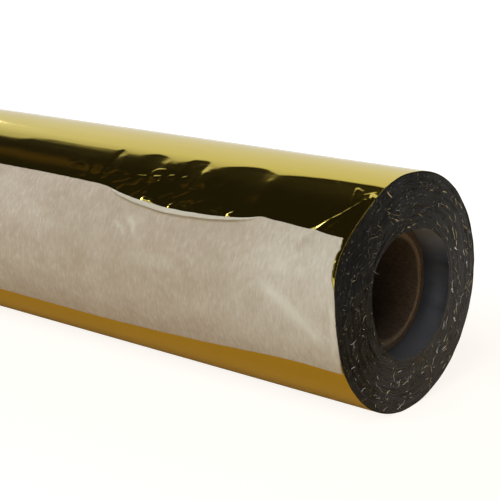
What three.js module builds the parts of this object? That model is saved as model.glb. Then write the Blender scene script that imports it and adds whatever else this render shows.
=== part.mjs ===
// A roll of gold metallised film on a spiral-wound board core, lying on its side.
//
// The film is one continuous web, 0.016 mm thick. It starts under a strip of tape on the core,
// makes about 830 turns, comes over the top of the roll for the last time and ends on the front,
// where a lengthwise strip of masking tape holds its loose end down. The core is a little
// shorter than the web is wide, so it sits back from both ends of the roll.
//
// Every round surface is a polygon with the same number of sides, with its corners at the same
// angles, so thin layers nest without touching. The polygon has a flat at the bottom, where a
// roll that has lain on a shelf is pressed flat too.
//
// Millimetres. +X runs along the roll's axis, +Z is up, and -Y is the front, where the tape is.
// The origin is the middle of the core's bore.

import * as THREE from "three";

// Driving dimensions
const WEB_WIDTH = 640; // the film's width, and the roll's overall length
const ROLL_RADIUS = 29.5; // at the start of the last turn
const BORE_RADIUS = 12.7; // a 1 inch core
const PLY_PITCH = 0.55; // one board ply with its glue line
const PLY_COUNT = 6;
const CORE_RECESS = 6.5; // from the web's edge in to the core's end
const BAND_COUNT = 6; // the wound film, in bands that hold 20 m each
const MASKING_TAPE_WIDTH = 36;
const MASKING_TAPE_MARGIN = 3; // from the web's edge to the tape's end

// Thicknesses and gaps. The film is drawn thicker than it is, so that it makes a solid.
const GLUE_LINE = 0.05;
const BAND_GAP = 0.06;
const FILM_THICKNESS = 0.2;
const TURN_PITCH = 0.3; // the radius that one drawn turn adds
const TAPE_THICKNESS = 0.2;
const TAPE_GAP = 0.09;
const CORE_TAPE_THICKNESS = 0.15;
const CORE_TAPE_WIDTH = 19;
const CORE_TAPE_MARGIN = 4; // from the core's end to the end of its tape

// Angles round the axis, in degrees, from the front (0) over the top (90) to the back (180)
const SIDES = 32;
const SIDE_ANGLE = 360 / SIDES;
const TAIL_EDGE = SIDE_ANGLE / 2; // where the film ends, under the masking tape: the first corner
const TAIL_HINGE = TAIL_EDGE + 6 * SIDE_ANGLE; // where the loose end leaves the roll when lifted
const TAIL_HINGE_GAP = 0.3; // each side of the hinge line
const CORE_TAPE_MIDDLE = 200;

const CORE_RADIUS = BORE_RADIUS + PLY_COUNT * PLY_PITCH;
const CORE_LENGTH = WEB_WIDTH - 2 * CORE_RECESS;
const WEB_INNER_RADIUS = CORE_RADIUS + 2 * GLUE_LINE + CORE_TAPE_THICKNESS;
const WEB_OUTER_RADIUS = ROLL_RADIUS - TURN_PITCH - FILM_THICKNESS - BAND_GAP;

const goldFilm = new THREE.MeshStandardMaterial({ color: 0xcdb868, roughness: 0.08, metalness: 1 });
const filmEdges = new THREE.MeshStandardMaterial({ color: 0x34332c, roughness: 0.45, metalness: 0.4 });
const coreBoard = new THREE.MeshStandardMaterial({ color: 0x6b563a, roughness: 0.9, metalness: 0 });
const crepePaper = new THREE.MeshStandardMaterial({ color: 0xb8aa92, roughness: 0.85, metalness: 0 });
const coreTapePaper = new THREE.MeshStandardMaterial({ color: 0xd8d4c6, roughness: 0.6, metalness: 0 });

// In this group x points to the front, y up and z along the roll, so each piece is a flat
// section that is extruded along z.
const roll = new THREE.Group();
const front = new THREE.Vector3(0, -1, 0);
const up = new THREE.Vector3(0, 0, 1);
const along = new THREE.Vector3(-1, 0, 0);
roll.quaternion.setFromRotationMatrix(new THREE.Matrix4().makeBasis(front, up, along));

/** Extrudes a section to a length, centred on the roll's middle, and adds it under its name. */
function addPiece(name, section, length, material) {
  const shape = new THREE.ExtrudeGeometry(section, { depth: length, bevelEnabled: false });
  const piece = new THREE.Mesh(shape, material);
  piece.name = name;
  piece.position.z = -length / 2;
  roll.add(piece);
}

/** The point at a radius and an angle in degrees. */
function pointAt(radius, angle) {
  const turn = THREE.MathUtils.degToRad(angle);
  return new THREE.Vector2(radius * Math.cos(turn), radius * Math.sin(turn));
}

/** A point on a side of the polygon whose corner radius is a function of the angle. */
function pointOnSide(radiusAt, angle) {
  const side = Math.floor((angle - TAIL_EDGE) / SIDE_ANGLE);
  const corner = TAIL_EDGE + side * SIDE_ANGLE;
  const start = pointAt(radiusAt(corner), corner);
  const end = pointAt(radiusAt(corner + SIDE_ANGLE), corner + SIDE_ANGLE);
  return start.lerp(end, (angle - corner) / SIDE_ANGLE);
}

/** A closed ring. */
function ringSection(innerRadius, outerRadius) {
  const corners = Array.from({ length: SIDES }, (_, i) => TAIL_EDGE + i * SIDE_ANGLE);
  const ring = new THREE.Shape(corners.map((angle) => pointAt(outerRadius, angle)));
  ring.holes.push(new THREE.Path(corners.map((angle) => pointAt(innerRadius, angle))));
  return ring;
}

/** A bent strip between two angles, whose outer radius is a function of the angle in degrees. */
function stripSection(fromAngle, toAngle, outerRadiusAt, thickness) {
  const innerRadiusAt = (angle) => outerRadiusAt(angle) - thickness;
  const angles = [fromAngle];
  let corner = TAIL_EDGE + Math.ceil((fromAngle - TAIL_EDGE) / SIDE_ANGLE) * SIDE_ANGLE;
  for (; corner < toAngle; corner += SIDE_ANGLE) {
    if (corner > fromAngle) {
      angles.push(corner);
    }
  }
  angles.push(toAngle);
  const outside = angles.map((angle) => pointOnSide(outerRadiusAt, angle));
  const inside = angles.map((angle) => pointOnSide(innerRadiusAt, angle));
  return new THREE.Shape([...outside, ...inside.reverse()]);
}

/** The angle in degrees that an arc of this length covers at this radius. */
function arcAngle(length, radius) {
  return THREE.MathUtils.radToDeg(length / radius);
}

/** The film's outer radius over its last turn and its loose end: it grows towards the end. */
function filmRadius(angle) {
  return ROLL_RADIUS + (TURN_PITCH * (TAIL_HINGE - angle)) / 360;
}

/** The board plies of the core, each a tube inside the next. */
function addCorePlies() {
  for (let i = 0; i < PLY_COUNT; i++) {
    const inner = BORE_RADIUS + i * PLY_PITCH;
    const section = ringSection(inner, inner + PLY_PITCH - GLUE_LINE);
    addPiece("core_ply_" + (i + 1), section, CORE_LENGTH, coreBoard);
  }
}

/** The strip that sticks the film's first edge to the core. */
function addCoreTape() {
  const outer = CORE_RADIUS + GLUE_LINE + CORE_TAPE_THICKNESS;
  const half = arcAngle(CORE_TAPE_WIDTH, CORE_RADIUS) / 2;
  const section = stripSection(
    CORE_TAPE_MIDDLE - half,
    CORE_TAPE_MIDDLE + half,
    () => outer,
    CORE_TAPE_THICKNESS,
  );
  addPiece("core_tape", section, CORE_LENGTH - 2 * CORE_TAPE_MARGIN, coreTapePaper);
}

/** The wound film, in bands of equal film length: equal areas of the roll's end. */
function addWebBands() {
  const area = (WEB_OUTER_RADIUS ** 2 - WEB_INNER_RADIUS ** 2) / BAND_COUNT;
  for (let i = 0; i < BAND_COUNT; i++) {
    const inner = Math.sqrt(WEB_INNER_RADIUS ** 2 + i * area);
    const outer = Math.sqrt(WEB_INNER_RADIUS ** 2 + (i + 1) * area);
    const gap = i === 0 ? 0 : BAND_GAP;
    addPiece("web_band_" + (i + 1), ringSection(inner + gap, outer), WEB_WIDTH, filmEdges);
  }
}

/** The last full turn. It starts under the loose end and comes back over the top to the hinge. */
function addLastTurn() {
  const section = stripSection(
    TAIL_HINGE + TAIL_HINGE_GAP,
    TAIL_HINGE + 360 - TAIL_HINGE_GAP,
    filmRadius,
    FILM_THICKNESS,
  );
  addPiece("web_last_turn", section, WEB_WIDTH, goldFilm);
}

/** The loose end of the film, from the hinge down the front to its edge. */
function addTail() {
  const section = stripSection(TAIL_EDGE, TAIL_HINGE - TAIL_HINGE_GAP, filmRadius, FILM_THICKNESS);
  addPiece("web_tail", section, WEB_WIDTH, goldFilm);
}

/** The masking tape: on the loose end above its edge, and on the turn below it. */
function addMaskingTape() {
  const half = arcAngle(MASKING_TAPE_WIDTH, ROLL_RADIUS) / 2;
  const radiusAt = (angle) => {
    const film = angle < TAIL_EDGE ? filmRadius(angle + 360) : filmRadius(angle);
    return film + TAPE_GAP + TAPE_THICKNESS;
  };
  const section = stripSection(TAIL_EDGE - half, TAIL_EDGE + half, radiusAt, TAPE_THICKNESS);
  addPiece("masking_tape", section, WEB_WIDTH - 2 * MASKING_TAPE_MARGIN, crepePaper);
}

addCorePlies();
addCoreTape();
addWebBands();
addLastTurn();
addTail();
addMaskingTape();

export default roll;
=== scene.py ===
import math

import bpy
import numpy as np
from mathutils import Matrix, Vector


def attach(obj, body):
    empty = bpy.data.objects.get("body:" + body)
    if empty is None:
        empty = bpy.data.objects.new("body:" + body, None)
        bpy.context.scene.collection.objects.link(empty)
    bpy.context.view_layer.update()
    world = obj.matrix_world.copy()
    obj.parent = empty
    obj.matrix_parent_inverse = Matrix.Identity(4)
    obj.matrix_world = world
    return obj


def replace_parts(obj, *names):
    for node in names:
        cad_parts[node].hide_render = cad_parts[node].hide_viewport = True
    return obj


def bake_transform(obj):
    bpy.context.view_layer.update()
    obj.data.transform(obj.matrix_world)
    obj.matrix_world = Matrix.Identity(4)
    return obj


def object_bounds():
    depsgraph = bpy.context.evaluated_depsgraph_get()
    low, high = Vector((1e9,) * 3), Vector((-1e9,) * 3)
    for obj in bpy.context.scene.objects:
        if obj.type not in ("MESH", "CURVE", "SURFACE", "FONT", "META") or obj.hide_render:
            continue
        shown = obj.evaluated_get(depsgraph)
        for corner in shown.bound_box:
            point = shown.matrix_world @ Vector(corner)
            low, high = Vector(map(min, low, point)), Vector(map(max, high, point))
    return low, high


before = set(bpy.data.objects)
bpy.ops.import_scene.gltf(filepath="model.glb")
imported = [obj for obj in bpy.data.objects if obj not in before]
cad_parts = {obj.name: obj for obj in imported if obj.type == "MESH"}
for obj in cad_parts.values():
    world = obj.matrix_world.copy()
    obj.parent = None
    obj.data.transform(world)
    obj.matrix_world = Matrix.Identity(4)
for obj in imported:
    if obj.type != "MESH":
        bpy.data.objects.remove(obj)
CAD_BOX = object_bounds()

# A roll of thin mirror-gloss gold film on a recessed board core. Its loose tail is held down by
# one lengthwise strip of crepe masking tape.
#
# Lengths are in millimetres and angles in degrees, unless a comment says otherwise. A place on
# the roll is (s, angle): s is the distance from the near end, which faces +X, and the angle is 0
# at the front (-Y) and 90 at the top (+Z).

MM = 0.001
ROLL_LENGTH = float(round((CAD_BOX[1][0] - CAD_BOX[0][0]) / MM))
HALF_LENGTH = ROLL_LENGTH / 2

FILM_RADIUS = 29.5  # outside of the last turn at the tail's hinge line
FILM_THICKNESS = 0.03
FILM_PITCH = 0.06  # what the outside grows by in one turn
FILM_STRETCHES = (0, 90, 160, 620, ROLL_LENGTH)  # ends of stretches with a step of their own
DEGREE_ARC = FILM_RADIUS * math.pi / 180  # length round the film for one degree
TAIL_HINGE = 73.125
TAIL_EDGE = 5.625
TAIL_FOLLOWS_FROM = 55.0  # an angle on the tail below its hinge line, where a point of the film's outside is worked out
UNDER_TAIL_SINK = 0.05  # extra room under the tail
TURN_END = TAIL_HINGE + 360

TAPE_FAR = 637.0
TAPE_THICKNESS = 0.15
TAPE_GAP = 0.03
TAPE_STEP = 3.5  # over how many degrees the tape steps up on to the tail
LIP_RISE = 0.24  # over what width the tape's raised lip rises
LIP_HEIGHT = 0.62  # the lip's height where it is at its widest
LIP_LEVEL = 0.40  # the share of its height that it keeps at the edge
LIP_SHARE = 0.88  # above this share of its width the tape has finer rows

BAND_RADII = (16.25, 18.96, 21.34, 23.47, 25.42, 27.24, 29.26)
BAND_GAP = 0.05
BAND_RINGS = 13
BAND_SEGMENTS = 360
BAND_BODY_RADIUS = 28.3  # how wide the outermost band is away from its end faces
BAND_SHOULDERS = (4.6, ROLL_LENGTH - 2.2)  # between them a band has its plain outside
HOLE_PLACES = (ROLL_LENGTH - 2.2, 9, 6, 5, 4, 3, 2, 1, 0.5)  # rings of the hole's wall
HOLE_WALL_RADIUS = 18.3  # the wall of the web's hole lies within this radius
STAND_BACK_RADII = (20.5, 29.3)  # over these the turns come to stand back at the near end
SLACK_RADII = (22.0, 29.3)  # and over these they come to follow the film's slack

SLIVER_COUNT = 240  # scattered on each end face
SLIVER_STATIONS = 9  # places along a sliver
SLIVER_THICKNESS = 0.02
SLIVER_RADII = (18.3, 28.6)  # scattered slivers have their middles between these
SLIVER_LIMITS = (18.0, 28.9)  # and one that would reach past these is turned

CORE_BORE_RADIUS = 12.7
PLY_PITCH = 0.55
PLY_GAP = 0.05
PLY_PAINTED_LIGHT_AND_SHADE = (0.8, 1.9, 1.9, 0.75, 0.75, 0.75)  # painted light and shade on each ply's board, from inside: darker bore, lighter lit ring, darker outer plies
PLY_CHAMFER = 0.06
CORE_RECESS = 6.5
CORE_SEGMENTS = 160
SEAM_LEAD = 92.0  # how far along the bore its spiral seam goes in one turn
SEAM_DEPTH = 0.09
SEAM_WIDTH = 3.2  # in degrees


# ---- numbers and noise

HASH_STEPS = (374761393, 668265263, 974634777, 362437)  # for x, y, z and the seed
HASH_MIX = 1274126177
LOW_BITS = 0xFFFFFFFF


def smooth(value, low, high):
    """0 below low, 1 above high, and an S-shaped rise between."""
    t = np.clip((value - low) / (high - low), 0, 1)
    return t * t * (3 - 2 * t)


def between(value, low, high, soft):
    """1 inside low to high, fading to 0 over soft on either side."""
    return smooth(value, low - soft, low) * (1 - smooth(value, high, high + soft))


def patch(s, angle, s_range, angle_range):
    """1 on one patch of the roll, fading out round it. A range is (low, high, soft)."""
    return between(s, *s_range) * between(angle, *angle_range)


def lattice(*whole_and_seed):
    """A fixed number from -1 to 1 for each whole-numbered point."""
    mixed = sum(number * step for number, step in zip(whole_and_seed, HASH_STEPS)) & LOW_BITS
    mixed = ((mixed ^ (mixed >> 13)) * HASH_MIX) & LOW_BITS
    mixed = mixed ^ (mixed >> 16)
    return mixed / 2147483648.0 - 1


def noise(x, y, z, seed):
    """Smooth noise from -1 to 1, with about one bump to a unit."""
    x, y, z = np.broadcast_arrays(np.asarray(x, float), y, z)
    whole = [np.floor(c).astype(np.int64) for c in (x, y, z)]
    share = [c - w for c, w in zip((x, y, z), whole)]
    share = [t * t * (3 - 2 * t) for t in share]
    total = np.zeros(x.shape)
    for steps in np.ndindex(2, 2, 2):
        weight = np.ones(x.shape)
        for step, t in zip(steps, share):
            weight = weight * (t if step else 1 - t)
        corner = [w + step for w, step in zip(whole, steps)]
        total += weight * lattice(*corner, seed)
    return total


def round_noise(s, angle, radius, along, across, seed):
    """Noise round the roll's axis, with bumps of about along by across millimetres."""
    turn = np.radians(angle)
    return noise(s / along, np.cos(turn) * radius / across, np.sin(turn) * radius / across, seed)


def film_noise(s, angle, along, across, seed):
    """Noise on the film's surface, with bumps of about along by across millimetres."""
    return round_noise(s, angle, FILM_RADIUS, along, across, seed)


def curve_through(points, value):
    """The height at value of a smooth curve through the (place, height) points."""
    places, heights = np.array(points, float).T
    steps = np.diff(places)
    slopes = np.diff(heights) / steps
    before, after = slopes[:-1], slopes[1:]
    turning = before * after <= 0  # the curve is level where it turns, so it can't overshoot
    inner = np.where(turning, 0.0, 2 * before * after / np.where(turning, 1.0, before + after))
    tangents = np.concatenate([slopes[:1], inner, slopes[-1:]])
    value = np.clip(value, places[0], places[-1])
    index = np.clip(np.searchsorted(places, value, "right") - 1, 0, len(places) - 2)
    step = steps[index]
    t = (value - places[index]) / step
    rise = t * t * (3 - 2 * t)
    bend = tangents[index] * t * (1 - t) ** 2 - tangents[index + 1] * t * t * (1 - t)
    return heights[index] * (1 - rise) + heights[index + 1] * rise + step * bend


def curve_round(points, angle):
    """The height at an angle of a curve that goes once round the roll, from -180 to 180."""
    return curve_through(points, (np.asarray(angle, float) + 180) % 360 - 180)


# ---- meshes


def on_roll(s, angle, radius):
    """Points in millimetres along X, Y and Z."""
    turn = np.radians(angle)
    s, turn, radius = np.broadcast_arrays(s, turn, radius)
    return np.stack([HALF_LENGTH - s, -radius * np.cos(turn), radius * np.sin(turn)], axis=-1)


def add_object(name, data):
    """A new object in the scene for a mesh, a light or a camera."""
    made = bpy.data.objects.new(name, data)
    bpy.context.scene.collection.objects.link(made)
    return made


def grid_faces(rows, columns, first=0, ring=False):
    """The quads of a grid whose points are numbered row by row. A ring joins its last row on."""
    steps = rows if ring else rows - 1
    i, j = np.meshgrid(np.arange(steps), np.arange(columns - 1), indexing="ij")
    below = (i + 1) % rows
    corners = (i * columns + j, i * columns + j + 1, below * columns + j + 1, below * columns + j)
    return np.stack([c.ravel() for c in corners], axis=1) + first


def signed_volume(points, quads):
    """Six times the volume that quads close in, and negative if they face inwards."""
    a, b, c, d = (points[quads[:, k]] for k in range(4))
    first = np.einsum("ij,ij->i", a, np.cross(b, c)).sum()
    return first + np.einsum("ij,ij->i", a, np.cross(c, d)).sum()


def mesh_piece(name, points, quads, crease_angle=50):
    """A closed body of quads facing out, smooth except over sharp edges."""
    if signed_volume(points, quads) < 0:
        quads = quads[:, ::-1]
    mesh = bpy.data.meshes.new(name)
    mesh.from_pydata((points * MM).tolist(), [], quads.tolist())
    mesh.validate()
    mesh.shade_smooth()
    mesh.set_sharp_from_angle(angle=math.radians(crease_angle))
    return add_object(name, mesh)


def rim_faces(edge, other):
    """The quads between two edges that run side by side."""
    return np.stack([edge[:-1], edge[1:], other[1:], other[:-1]], axis=1)


def sheet_body(name, outer, inner):
    """A closed thin sheet between two grids of points, (rows, columns, 3) each."""
    rows, columns = outer.shape[:2]
    count = rows * columns
    points = np.concatenate([outer.reshape(-1, 3), inner.reshape(-1, 3)])
    index = np.arange(count).reshape(rows, columns)
    top = grid_faces(rows, columns)
    bottom = grid_faces(rows, columns, first=count)[:, ::-1]
    edges = (index[0], index[-1][::-1], index[:, 0][::-1], index[:, -1])
    rims = [rim_faces(edge, edge + count)[:, ::-1] for edge in edges]
    return mesh_piece(name, points, np.concatenate([top, bottom, *rims]))


def lathe_body(name, profile):
    """A closed tube from (rings, segments, 3) points, whose last ring joins on to its first."""
    rings, segments = profile.shape[:2]
    row, column = np.divmod(grid_faces(rings, segments + 1, ring=True), segments + 1)
    return mesh_piece(name, profile.reshape(-1, 3), row * segments + column % segments)


def stretches(*parts):
    """Places from (start, end, step) stretches, with the last end."""
    runs = []
    for start, end, step in parts:
        count = max(1, round(abs(end - start) / step))
        runs.append(np.linspace(start, end, count, endpoint=False))
    return np.append(np.concatenate(runs), parts[-1][1])


# ---- the film's own shape

# Above the tape the film lies slack: it sinks in, and rises again to the full radius at a wavy
# line, below which it looks dark. Each pair is a place along the roll and the line's angle.
RISE_LINE = (
    (0, 68), (4, 68.8), (12, 68.6), (20, 68), (24, 67.3), (27.6, 66.4), (29.3, 65.8),
    (30.8, 65.3), (33, 66.5), (35.5, 68.2), (38, 68.6), (41.2, 68.1), (43, 67.4), (45, 66.3),
    (47.8, 65), (49.3, 64), (50.8, 63.2), (52.2, 64.8), (53.6, 66.8), (54.7, 67.3),
    (58.4, 66.9), (60, 65.2), (61.6, 64.1), (63.1, 63.1), (65.3, 63.5), (67, 65.3),
    (68.6, 66.2), (71.1, 66.6), (73, 66), (74.7, 65), (76.5, 64.1), (78.5, 63.6),
    (80.7, 63.7), (82.4, 65), (84, 66), (85.6, 64.7), (87.9, 64.5), (97, 64.2),
    (110, 64.5), (117, 64.1), (121, 62.4), (126, 61.6), (150, 62.6), (190, 64.9), (240, 63.2),
    (320, 65), (400, 63.4), (480, 64.8), (560, 63.6), (640, 66.5),
)
FULL_ROUND_ANGLE = 63.7  # where the line would lie on a truly round film
RISE_MARGIN = 3.0  # how much steeper than it must the film rises, in degrees
RISE_END = 1.2  # within how many degrees the rise ends above the line
RISE_UNEVENNESS = 0.25  # how far the line wanders, in degrees
SLACK_TOP, SLACK_BOTTOM = 59.0, 33.0  # between these angles the film sinks in
BULGE_WIDTH = 7.0  # over how many degrees a film that stands proud goes back
BACK_FULLNESS = 0.12  # how far the film stands proud round the back of the top
BACK_RANGE = (100, 118, 26)

# The shallow waves of a film wound by hand: height, length along, length round, seed.
WAVES = ((0.016, 38, 9, 11), (0.008, 13, 5, 12), (0.0022, 5, 2.6, 13))

# Folds in the film: points (s, angle), then the half width and the height of the ridge at the
# path's first and last point.
FOLDS = (
    (((13.3, 32.6), (10.9, 38), (8.6, 46.2)), (2.9, 0.3), (1.31, 0.135)),
    (((8.3, 45.6), (6.9, 48.4), (5.4, 53.4), (3.6, 59.2)), (0.65, 0.25), (0.29, 0.1)),
    (((10.2, 34), (8.9, 38.2), (7.2, 42.9), (6.2, 45.4)), (0.8, 0.35), (0.36, 0.155)),
    (((5.3, 61.7), (3.6, 63.4), (2.4, 64.4)), (0.35, 0.4), (0.05, 0.08)),
    (((2.6, 62.6), (1.9, 60.8)), (0.8, 1), (0.3, 0.42)),
    (((6.6, 38.4), (3.6, 39.5), (2.6, 39.9)), (0.6, 0.6), (0.2, 0.16)),
    (((7.7, 65.2), (7, 60), (6.2, 55.1)), (0.5, 0.4), (0.15, 0.11)),
    (((6.9, 65), (5.6, 59.4)), (0.4, 0.4), (0.11, 0.08)),
    (((6, 64.6), (5.1, 60.6)), (0.35, 0.35), (0.09, 0.07)),
    (((14.4, 67.5), (11, 60.5)), (0.4, 0.4), (0.04, 0.03)),
    (((19.6, 67), (17.2, 61)), (0.4, 0.4), (0.03, 0.02)),
    (((78.6, 43), (75, 45.4), (73.2, 48.2)), (0.7, 0.4), (0.1, 0.08)),
    (((76.1, 48.9), (73.4, 49.2)), (0.6, 0.5), (0.12, 0.1)),
    (((72, 49.8), (69.4, 50.4)), (0.6, 0.5), (0.12, 0.13)),
    (((68.4, 53.4), (67.2, 55.8), (64.6, 56.4)), (0.6, 0.4), (0.11, 0.1)),
    (((66.6, 50.8), (64.6, 51.6), (63.6, 49.6), (64.6, 47.6)), (0.6, 0.4), (0.15, 0.14)),
    (((70, 46.6), (68.6, 48.4)), (0.5, 0.4), (0.1, 0.1)),
    (((62, 52.8), (60.6, 53.6)), (0.5, 0.5), (0.14, 0.12)),
    (((57.8, 53.4), (56.8, 54.4)), (0.5, 0.5), (0.15, 0.12)),
    (((60.4, 39.4), (57.6, 43)), (0.5, 0.3), (0.16, 0.1)),
    (((56.2, 40.6), (52.6, 45.6)), (0.4, 0.3), (0.08, 0.06)),
    (((55, 47.2), (54.4, 47.8)), (0.4, 0.4), (0.14, 0.14)),
    (((49, 40), (46, 42.6)), (0.5, 0.4), (0.07, 0.06)),
    (((65.8, 37.4), (63.4, 37.2), (60.8, 36)), (1, 0.7), (0.48, 0.3)),
    (((56.6, 36.4), (54.8, 39)), (0.7, 0.4), (0.45, 0.14)),
    (((37.4, 37.2), (36.2, 39.8)), (0.8, 0.5), (0.6, 0.2)),
    (((62.8, 84), (63.4, 86.2), (61.6, 86.6)), (0.6, 0.5), (0.09, 0.06)),
    (((55.4, 84.8), (54.4, 86.4)), (0.5, 0.5), (0.08, 0.06)),
    (((3.6, 29.5), (2.9, 27), (3.3, 24)), (0.7, 0.6), (0.22, 0.2)),
    (((3.2, 21.5), (2.6, 19.5), (3.2, 17)), (0.6, 0.6), (0.2, 0.18)),
)
FOLD_WANDER = 0.24  # how far a fold strays from its path
FOLD_UNEVENNESS = 0.2  # the share by which its height goes up and down

# Where the film is crumpled: ranges of s and angle, and how strongly.
CRUMPLED = (
    ((46, 92, 9), (38, 52, 8), 1),
    ((-2, 4, 3), (36, 58, 5), 0.4),
    ((52, 64, 4), (57, 63.5, 3), 0.2),
)
CRUMPLED_BY_LIP = ((32, 74, 8), (31, 39.5, 3))

# How far the near end's outermost turns stand back: (angle, millimetres).
NEAR_STAND_BACK = (
    (-180, 0), (-60, 0.05), (-41, 0.15), (-29, 0.35), (-19, 0.42), (-8, 0.6), (4.5, 1.1),
    (12, 1.8), (21, 2.3), (29, 2.4), (36, 1.95), (45, 1.5), (55, 1.1), (65, 1.2), (74, 1),
    (83, 1.05), (94, 0.4), (110, 0.1), (180, 0),
)
EDGE_BACK = 0.22  # how far the film's cut edge stands back everywhere
EDGE_RAGGEDNESS = 0.08  # and how much more or less in places
END_WIDTH = 1.2  # over what width the film follows its ragged edge
END_PULL = 12.0  # over what width the near end is pulled back


def slack(s, angle):
    """How far the film sinks in below the full radius, or stands proud of it."""
    line = curve_through(RISE_LINE, s) + RISE_UNEVENNESS * noise(s / 3.5, 0.5, 0.5, 3)
    lean = line - FULL_ROUND_ANGLE
    margin = np.clip(lean, 0, RISE_MARGIN)
    steepest = np.maximum(lean, 0) + margin
    slope = np.clip(angle - FULL_ROUND_ANGLE + margin, 0, steepest)
    ending = np.clip(1 - (angle - line) / RISE_END, 0, 1)
    sunk = (steepest ** 2 - slope ** 2) / 2 + steepest * RISE_END / 2 * ending ** 2
    half = BULGE_WIDTH / 2
    proud = np.minimum(lean, 0) * BULGE_WIDTH / 1.5 * (1 - smooth(angle, line - half, line + half))
    depth = np.radians(sunk + proud) * DEGREE_ARC
    fullness = BACK_FULLNESS * between(angle, *BACK_RANGE)
    return fullness - depth * smooth(angle, SLACK_BOTTOM, SLACK_TOP)


def waviness(s, angle):
    """The height of all the shallow waves together."""
    return sum(height * film_noise(s, angle, *lengths_and_seed) for height, *lengths_and_seed in WAVES)


def distance_to_path(s, angle, path):
    """Distance on the unrolled film from a path of (s, angle) points, and how far along it."""
    u, v = s, angle * DEGREE_ARC
    nearest = np.full(np.broadcast(u, v).shape, np.inf)
    along = np.zeros(nearest.shape)
    parts = len(path) - 1
    for part, ((s0, a0), (s1, a1)) in enumerate(zip(path[:-1], path[1:])):
        v0, v1 = a0 * DEGREE_ARC, a1 * DEGREE_ARC
        run = (s1 - s0) ** 2 + (v1 - v0) ** 2
        t = np.clip(((u - s0) * (s1 - s0) + (v - v0) * (v1 - v0)) / run, 0, 1)
        away = np.hypot(u - s0 - t * (s1 - s0), v - v0 - t * (v1 - v0))
        along = np.where(away < nearest, (part + t) / parts, along)
        nearest = np.minimum(nearest, away)
    return nearest, along


def folds(s, angle):
    """Ridges with straight flanks, where the film has been folded and pressed back."""
    height = np.zeros(np.broadcast(s, angle).shape)
    wander = FOLD_WANDER * film_noise(s, angle, 2.2, 2.2, 21)
    for path, (first_width, last_width), (first_height, last_height) in FOLDS:
        looseness = 1.5 / (1 + first_width) ** 1.5  # broad folds run straighter
        away, along = distance_to_path(s + wander * looseness, angle, path)
        half_width = first_width + along * (last_width - first_width)
        ridge = first_height + along * (last_height - first_height)
        uneven = looseness * noise(along * 6, first_width * 9, 0.4, 22)
        ridge = ridge * (1 + FOLD_UNEVENNESS * uneven)
        height = np.maximum(height, ridge * np.clip(1 - away / half_width, 0, 1))
    return height


def crumples(s, angle):
    """Small crumples left where the tape has been lifted and pressed back."""
    shape = 1 - np.abs(film_noise(s, angle, 5.2, 3.4, 31))
    detail = 1 - np.abs(film_noise(s, angle, 2.1, 1.6, 32))
    specks = np.clip(film_noise(s, angle, 1.5, 1.2, 33) - 0.35, 0, 1)
    plain = 0.15 * shape ** 3 + 0.025 * detail ** 2 + 0.05 * specks
    by_lip = 0.10 * detail ** 2 + 0.12 * shape ** 4
    where = sum(strength * patch(s, angle, *ranges) for *ranges, strength in CRUMPLED)
    return where * plain + patch(s, angle, *CRUMPLED_BY_LIP) * by_lip


def film_base(s, angle, layer_angle):
    """Radius of the unfolded film. layer_angle goes on past 360, for the turn beneath the tail."""
    wound = FILM_RADIUS - FILM_PITCH * (layer_angle - TAIL_HINGE) / 360
    return wound + slack(s, angle) + waviness(s, angle)


def film_radius(s, angle, layer_angle):
    """Radius of the film's outside. The turn beneath the tail has no folds and lies lower."""
    beneath = layer_angle > 360 + TAIL_EDGE - 4
    sunk = -UNDER_TAIL_SINK * smooth(TURN_END - layer_angle, 0, 4)
    surface = np.where(beneath, sunk, folds(s, angle) + crumples(s, angle))
    return film_base(s, angle, layer_angle) + surface


def ragged_end(angle, seed):
    """How far the film's cut edge stands back from the end of the roll."""
    return EDGE_BACK + EDGE_RAGGEDNESS * film_noise(0.0, angle, 1, 2.5, seed)


def film_grid(places, layer_angles):
    """Outside and inside points of the film, one row for each angle."""
    s, layer = np.meshgrid(places, layer_angles)
    angle = np.where(layer > 360, layer - 360, layer)
    at_near = 1 - smooth(s, 0, END_WIDTH)
    at_far = smooth(s, ROLL_LENGTH - END_WIDTH, ROLL_LENGTH)
    s = s - at_far * ragged_end(angle, 6) + at_near * ragged_end(angle, 5)
    s = s + (1 - smooth(s, 0, END_PULL)) * curve_round(NEAR_STAND_BACK, angle)
    radius = film_radius(s, angle, layer)
    return on_roll(s, angle, radius), on_roll(s, angle, radius - FILM_THICKNESS)


def film_places(*steps):
    """Places along the film, with one step for each of its stretches."""
    return stretches(*zip(FILM_STRETCHES[:-1], FILM_STRETCHES[1:], steps))


def build_last_turn():
    """The turn of film that shows all round the roll, and runs on beneath the tail."""
    angles = stretches((TAIL_HINGE, 110, 0.8), (110, TURN_END, 2.5))
    return sheet_body("roll_film", *film_grid(film_places(0.9, 2.0, 3.6, 1.6), angles))


def build_tail():
    """The loose tail, from its hinge line down to its cut edge beneath the tape."""
    angles = stretches((TAIL_HINGE, 32, 0.45), (32, TAIL_EDGE, 2.4))
    return sheet_body("tail_film", *film_grid(film_places(0.45, 1.0, 2.5, 1.0), angles))


# ---- the masking tape

# Each pair is a place along the roll, and there the angle of an edge or the lip's width.
TAPE_TOP = (
    (0, 36.7), (4, 36.9), (15, 38.3), (24, 39.3), (27.6, 39.7), (31, 38.1), (37, 36.3),
    (45.6, 35.3), (53, 35), (62.3, 35.7), (69, 36.8), (75, 38.6), (80, 40.6), (84, 41.4),
    (120, 42.2), (200, 40.8), (320, 41.9), (450, 40.7), (560, 41.8), (640, 41.2),
)
TAPE_BOTTOM = (
    (0, -26.6), (3, -26.7), (13, -26.2), (45, -29.8), (81, -32.2), (119, -31.7), (220, -30.8),
    (340, -31.6), (470, -30.4), (640, -31.2),
)
LIP_WIDTH = (
    (0, 0), (27, 0), (31, 0.5), (38, 0.9), (48, 1.2), (57, 1.3), (66, 1.15), (72, 0.85),
    (77, 0.45), (80.5, 0), (640, 0),
)
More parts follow.
